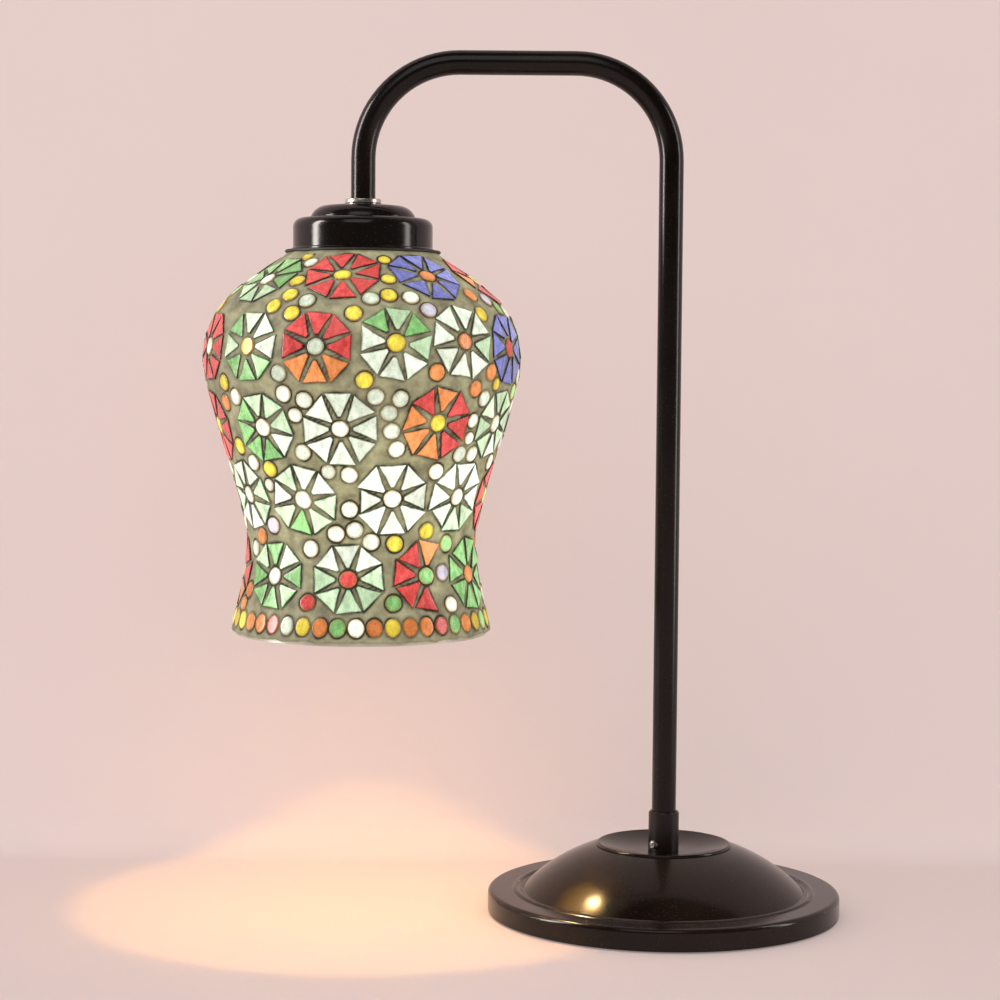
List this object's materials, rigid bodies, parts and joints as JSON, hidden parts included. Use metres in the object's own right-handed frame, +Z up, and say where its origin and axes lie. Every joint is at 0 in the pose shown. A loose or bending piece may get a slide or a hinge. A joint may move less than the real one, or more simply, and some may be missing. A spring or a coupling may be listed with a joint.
{
  "type": "mosaic glass table lamp",
  "caption": "Swan-neck table lamp with a turning arm, a hanging mosaic glass shade under a black cap, a screw-in bulb and a weighted domed foot.",
  "frame": {"origin": "middle of the foot's underside, on the table", "axes": "+Z up along the pole, -X from the pole towards the shade, -Y the front"},
  "size_m": [0.3354, 0.1865, 0.45],
  "materials": {
    "black_gloss_paint": "dark bronze-black lacquer, satin to gloss",
    "cap_gloss_paint": "black gloss lacquer",
    "cast_iron": "rough casting",
    "pad_felt": "pressed felt",
    "black_rubber": "matte rubber",
    "zinc_steel": "zinc plated",
    "nickel_plate": "nickel plated",
    "lead_sheath": "flexible lead sheath",
    "holder_plastic": "moulded thermoplastic",
    "porcelain": "white porcelain",
    "contact_brass": "bright brass",
    "bulb_insulator": "black glass insulator with a tin button",
    "bulb_cap_metal": "nickel plated aluminium",
    "bulb_white_plastic": "white moulded plastic",
    "bulb_opal": "opal diffuser, lit",
    "board_aluminium": "white coated aluminium board",
    "blank_glass": "clear blown glass",
    "mosaic_grout": "grey-brown grout",
    "glass_red": "cut stained glass",
    "glass_orange": "cut stained glass",
    "glass_yellow": "cut stained glass",
    "glass_green": "cut stained glass",
    "glass_mint": "cut stained glass",
    "glass_white": "cut opal glass",
    "glass_blue": "cut stained glass",
    "glass_violet": "cut stained glass"
  },
  "bodies": {
    "foot": {"base_shell": "black_gloss_paint", "base_weight": "cast_iron", "base_pad": "pad_felt", "cord_grommet": "black_rubber", "stem_nipple": "zinc_steel", "stem_washer": "zinc_steel", "stem_nut": "zinc_steel", "stem_collar": "black_gloss_paint", "set_screw": "nickel_plate", "stem_lead": "lead_sheath"},
    "arm": {"arm_end_stud": "zinc_steel", "arm_tube": "black_gloss_paint", "cap_gasket": "black_rubber", "cap_lock_nut": "zinc_steel", "centre_contact": "contact_brass", "check_ring": "nickel_plate", "dots_green": "glass_green", "dots_orange": "glass_orange", "dots_red": "glass_red", "dots_violet": "glass_violet", "dots_white": "glass_white", "dots_yellow": "glass_yellow", "holder_cap": "holder_plastic", "holder_insert": "porcelain", "holder_skirt": "holder_plastic", "neck_lead": "lead_sheath", "petals_blue": "glass_blue", "petals_green": "glass_green", "petals_mint": "glass_mint", "petals_orange": "glass_orange", "petals_red": "glass_red", "petals_white": "glass_white", "rim_dots_green": "glass_green", "rim_dots_orange": "glass_orange", "rim_dots_red": "glass_red", "rim_dots_white": "glass_white", "rim_dots_yellow": "glass_yellow", "screw_shell": "contact_brass", "shade_cap": "cap_gloss_paint", "shade_glass": "blank_glass", "shade_grout": "mosaic_grout", "shade_ring": "holder_plastic", "terminal_screws": "contact_brass"},
    "bulb_tip": {"bulb_contact": "bulb_insulator"},
    "bulb": {"bulb_screw_cap": "bulb_cap_metal", "bulb_housing": "bulb_white_plastic", "bulb_globe": "bulb_opal", "led_board": "board_aluminium"}
  },
  "joints": [
    {"name": "arm_swivel", "type": "hinge", "parent": "foot", "child": "arm", "pos_m": [0, 0, 0.045], "axis": [0, 0, 1], "range_deg": [-170, 170]},
    {"name": "bulb_travel", "type": "slide", "parent": "arm", "child": "bulb_tip", "axis": [0, 0, -1], "range_m": [0, 0.018]},
    {"name": "bulb_turn", "type": "hinge", "parent": "bulb_tip", "child": "bulb", "pos_m": [-0.16, 0, 0.3], "axis": [0, 0, -1], "range_deg": [0, 1785]}
  ],
  "couplings": [
    {"joint": "bulb_travel", "follows": "bulb_turn", "m_per_rad": 0.00057757}
  ]
}
